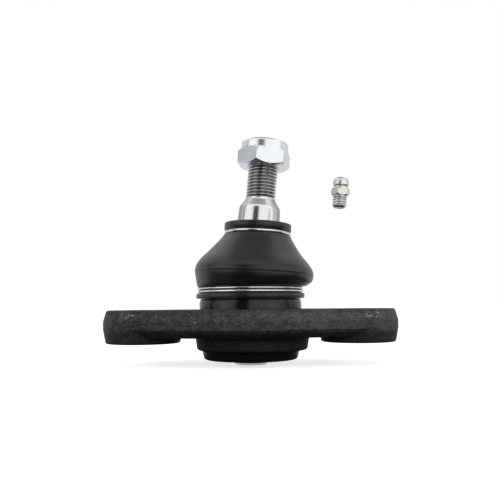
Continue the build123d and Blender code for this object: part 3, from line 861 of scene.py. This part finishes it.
# Painted shade: the thread's roots are painted dark.
root_shade = turned_paint.rise(radius_of(x, y), 6.9 * mm, 6.3 * mm) * on_thread
steel_grey = turned_paint.mix(rings * 0.6 + smudges * 0.4, 0.74, 0.94)
edge_on = turned_paint.node("LayerWeight", values={"Blend": 0.5}, output="Facing")
# Painted shade: the steel is painted darker where it turns away from the lens.
painted_edge_shade = turned_paint.rise(edge_on, 0.2, 0.65) * (0.7 - on_thread * 0.55)
steel_grey = turned_paint.mix(painted_edge_shade, steel_grey, 0.25)
thread_patches = turned_paint.noise(turned_paint.stretch(spot, (1, 1, 0.6)), 2.2, 3.0, 0.6)
steel_grey = turned_paint.mix(on_thread * between(-0.3, 0.45, thread_patches), steel_grey, 0.42)
steel_grey = turned_paint.mix(root_shade * between(0.6, 1.0, thread_patches), steel_grey, 0.05)
coat(ball_stud, turned_paint.finish(
    Base_Color=steel_grey,
    Metallic=1.0,
    Roughness=between(0.16, 0.26, smudges) + on_thread * 0.1,
    Normal=turned_paint.bump(rings, 0.02, 0.5),
))

# %% [markdown]
# The nut and the nipple are zinc plated. Zinc grows in patches that each reflect a little
# differently, so soft patches set the tone and the gloss, with a faint blue cast on the nut, and a
# fine grain on top keeps the flats from looking like mirrors.

# %% Zinc plate
def zinc(name, place, patch_mm, bright, cast, metallic):
    paint = Paint(name)
    spot = paint.place(place)
    patches = paint.noise(paint.stretch(spot, (1, 1, 0.6)), patch_mm, 3.0, 0.6)
    cloud = paint.noise(spot, patch_mm * 5, 3.0, 0.6)
    grain = paint.noise(spot, 0.25, 2.0)
    dull = (patches * 0.5 + cloud * 0.6).of("MINIMUM", 1.0)
    return paint.finish(
        Base_Color=paint.mix(dull, bright, cast),
        Metallic=metallic,
        Roughness=between(0.2, 0.32, dull),
        Normal=paint.bump(grain, 0.01, 0.3, paint.bump(patches, 0.12, 0.6)),
    )


white, blue_cast = (1.0, 1.0, 1.0), (0.84, 0.88, 0.92)
warm_white, warm_cast = (0.92, 0.92, 0.9), (0.72, 0.72, 0.69)
coat(lock_nut, zinc("zinc_plate", stud_frame, 1.2, white, blue_cast, 1.0))
coat(nipple, zinc("nipple_plate", nipple_frame, 0.8, warm_white, warm_cast, 0.85))

# %% [markdown]
# Moulded rubber is almost black, with a soft sheen. Its skin copies the spark-eroded mould, so it
# has a very fine grain, handling leaves faint dusty smears, and the collar at the top is paler.

# %% Boot rubber
rubber = Paint("boot_rubber")
spot = rubber.place()
grain = rubber.noise(spot, 0.35, 3.0, 0.6)
smears = rubber.noise(rubber.stretch(spot, (1, 1, 1.8)), 11.0, 4.0, 0.6)
dust = rubber.rise(smears, 0.5, 0.8)
black = rubber.mix(dust * 0.6, (0.006, 0.006, 0.0065), 0.018)
paler_from, paler_full = 57, 60
# The collar at the top of the boot is paler.
paler_collar = rubber.rise(rubber.parts(spot)[2], paler_from * mm, paler_full * mm)
boot_rubber = rubber.finish(
    Base_Color=rubber.mix(paler_collar * 0.6, black, 0.02),
    Roughness=between(0.28, 0.38, smears),
    Normal=rubber.bump(grain, 0.04, 0.3),
    Specular_IOR_Level=0.56,
    Sheen_Weight=0.25,
    Sheen_Roughness=0.4,
)
for half in (boot_lower, boot_upper):
    coat(half, boot_rubber)

# %% [markdown]
# The clips are bright drawn wire with faint streaks along it. Hardly any light gets in between
# the two close turns of the lower one, so a thin dark line runs there.

# %% Bright wire
wire_paint = Paint("bright_wire")
spot = wire_paint.place()
streaks = wire_paint.noise(wire_paint.stretch(spot, (0.4, 0.4, 2)), 1.2, 3.0, 0.6)
wire_grey = wire_paint.mix(wire_paint.rise(streaks, 0.35, 0.7), (0.9, 0.9, 0.91), (0.76, 0.78, 0.81))
from_middle = (wire_paint.parts(spot)[2] - (lower_base + lower_pitch / 2) * mm).of("ABSOLUTE")
in_the_gap = wire_paint.rise(from_middle, 0.3 * mm, 0.12 * mm)
wire_grey = wire_paint.mix(in_the_gap * 0.9, wire_grey, 0.03)
clip_wire = wire_paint.finish(
    Base_Color=wire_grey,
    Metallic=1.0,
    Roughness=between(0.16, 0.24, streaks),
)
for clip in (lower_clip, upper_clip):
    coat(clip, clip_wire)

# %% [markdown]
# The cover, the seats, the nut's insert and the check ball keep their solids and only get a
# finish. The cover is pressed plate, the springs and the check ball are dark spring steel, and the
# seats and the insert are pale slippery plastic.

# %% Cover, springs and seats
fine_in_a_patch = 12


def satin(name, dark, light, metallic, rough_low, rough_high, patch_mm):
    paint = Paint(name)
    spot = paint.place()
    patches = paint.noise(spot, patch_mm, 4.0, 0.6)
    fine = paint.noise(spot, patch_mm / fine_in_a_patch, 2.0)
    tone = patches * 0.7 + fine * 0.3
    return paint.finish(
        Base_Color=paint.mix(tone, dark, light),
        Metallic=metallic,
        Roughness=between(rough_low, rough_high, tone),
        Normal=paint.bump(fine, 0.03, 0.4),
    )


dress("cover_plate", satin("pressed_plate", 0.42, 0.62, 0.9, 0.32, 0.5, 4.0))
spring_steel = satin("spring_steel", 0.16, 0.34, 1.0, 0.25, 0.45, 3.0)
seat_plastic = satin("seat_plastic", (0.62, 0.6, 0.54), (0.74, 0.72, 0.66), 0.0, 0.38, 0.55, 5.0)
dress("nipple_check_ball", spring_steel)
for spring in (disc_spring, coil_spring):
    coat(spring, spring_steel)
for node in ("upper_bearing_seat", "pressure_cup", "nut_locking_insert"):
    dress(node, seat_plastic)

# %% [markdown]
# The stage is plain: a pale floor, a white surround and large soft lamps. The world is white to
# the eye but softer as a lamp, and so is the floor, which still shows the joint's shadow.

# %% Surround
as_lamp, to_the_eye = 0.45, 1.0
bpy.context.scene.view_settings.view_transform = "Standard"
world = bpy.data.worlds.new("studio")
bpy.context.scene.world = world
world.use_nodes = True
sky = world.node_tree
sky_light = sky.nodes["Background"]
sky_light.inputs["Color"].default_value = (1, 1, 1, 1)
path = sky.nodes.new("ShaderNodeLightPath")
seen = path.outputs["Is Camera Ray"]
for way in ("Is Glossy Ray", "Is Transmission Ray"):
    either = sky.nodes.new("ShaderNodeMath")
    either.operation = "ADD"
    sky.links.new(seen, either.inputs[0])
    sky.links.new(path.outputs[way], either.inputs[1])
    seen = either.outputs[0]
strength = sky.nodes.new("ShaderNodeMapRange")
strength.inputs["To Min"].default_value = as_lamp
strength.inputs["To Max"].default_value = to_the_eye
sky.links.new(seen, strength.inputs["Value"])
sky.links.new(strength.outputs[0], sky_light.inputs["Strength"])
print("surround: white to the eye, softer as a lamp")

# %% Floor
floor_size_m, floor_dark, floor_pale, floor_glow = 12, 0.12, 0.8, 0.74
deselect()
bpy.ops.mesh.primitive_plane_add(size=floor_size_m, location=(0, 0, 0))
floor = bpy.context.object
floor.name = "studio_floor"
floor_paint = Paint("pale_floor")
ways = floor_paint.node("LightPath").socket.node.outputs
camera_way, glossy_way, through_way = [
    Value(floor_paint, ways[way]) for way in ("Is Camera Ray", "Is Glossy Ray", "Is Transmission Ray")
]
floor_seen = (camera_way + glossy_way + through_way).of("MINIMUM", 1.0)
floor_paint.finish(
    Base_Color=floor_paint.mix(floor_seen, floor_dark, floor_pale),
    Roughness=0.9,
    Specular_IOR_Level=0.0,
    Emission_Color=(1, 1, 1, 1),
    Emission_Strength=floor_seen * floor_glow,
)
floor.data.materials.append(floor_paint.material)

# %% [markdown]
# Steel shows what stands around it. Three softboxes light the joint, and cards stand for the rest
# of the studio in its reflections: dark ones beside and before the lens give the stud and the nut
# their dark stripes, pale ones behind keep the far side bright, and flat ones on the table give
# the undersides their tones. The cards are seen only in reflections, and cast no shadow.

# %% Softboxes and cards
aim_height_m = 0.05


def around(azimuth_deg, elevation_deg, distance, height=aim_height_m):
    """A place around the joint: azimuth 0 is towards the lens, and it grows to the right."""
    azimuth, elevation = math.radians(azimuth_deg), math.radians(elevation_deg)
    level, rise = distance * math.cos(elevation), distance * math.sin(elevation)
    return Vector((level * math.sin(azimuth), -level * math.cos(azimuth), rise + height))


def facing(place):
    return (Vector((0, 0, aim_height_m)) - place).to_track_quat("-Z", "Y").to_euler()


def softbox(name, azimuth_deg, elevation_deg, distance, width, height, level):
    """A rectangular lamp; level is how bright it looks, where 1 is white."""
    lamp = bpy.data.lights.new(name, "AREA")
    lamp.shape = "RECTANGLE"
    lamp.size = width
    lamp.size_y = height
    lamp.energy = level * math.pi * width * height
    box = bpy.data.objects.new(name, lamp)
    bpy.context.scene.collection.objects.link(box)
    box.location = around(azimuth_deg, elevation_deg, distance)
    box.rotation_euler = facing(box.location)
    box.visible_glossy = False
    print(name, "level", level)


def card(name, place, width, height, grey, lying=False):
    """A card that only reflections see; it faces the joint, or lies flat."""
    deselect()
    bpy.ops.mesh.primitive_plane_add(size=1)
    sheet = bpy.context.object
    sheet.name = name
    sheet.scale = (width, height, 1)
    sheet.location = place
    sheet.rotation_euler = (0, 0, math.atan2(place.x, -place.y)) if lying else facing(place)
    paint = Paint(name)
    sheet.data.materials.append(paint.finish(
        Base_Color=0, Specular_IOR_Level=0.0, Emission_Color=paint.colour(grey), Emission_Strength=1.0
    ))
    sheet.visible_camera = False
    sheet.visible_diffuse = False
    sheet.visible_shadow = False


softbox("softbox_right", 52, 18, 0.9, 0.75, 0.9, 1.2)
softbox("softbox_left", -66, 15, 0.9, 0.6, 0.9, 1.55)
softbox("softbox_top", 10, 75, 0.9, 0.7, 0.5, 0.9)
card("dark_gap", around(-18, 5, 0.8), 0.44, 1.1, 0.025)
card("glow_left", around(-60, 0, 0.8), 0.34, 0.22, 1.6)
card("glow_right", around(52, 0, 0.8), 0.34, 0.22, 1.5)
card("left_seam", around(-96.5, 10, 0.8), 0.16, 1.2, (0.07, 0.1, 0.12))
card("right_seam", around(90, 10, 0.8), 0.10, 1.2, 0.12)
card("back_left", around(-138, 2, 1.2), 1.3, 1.4, 0.62)
card("back_right", around(132, 10, 1.2), 1.3, 1.6, 0.66)
card("behind", around(178, 0, 1.3), 1.3, 1.8, 0.72)
card("ceiling", around(0, 88, 0.9), 0.9, 0.7, 0.4)
card("back_ceiling", around(180, 58, 1.0), 0.7, 0.4, 0.1)
card("table_before", Vector((0, -0.055, 0.001)), 2.4, 0.13, 0.03, lying=True)
card("table_middle", Vector((0, -0.22, 0.001)), 2.4, 0.2, 0.35, lying=True)
card("table_gap", around(-19, 0, 0.44, 0.0015), 0.2, 0.64, 0.03, lying=True)
card("table_behind", Vector((0, 1.31, 0.001)), 4.0, 2.6, 0.68, lying=True)
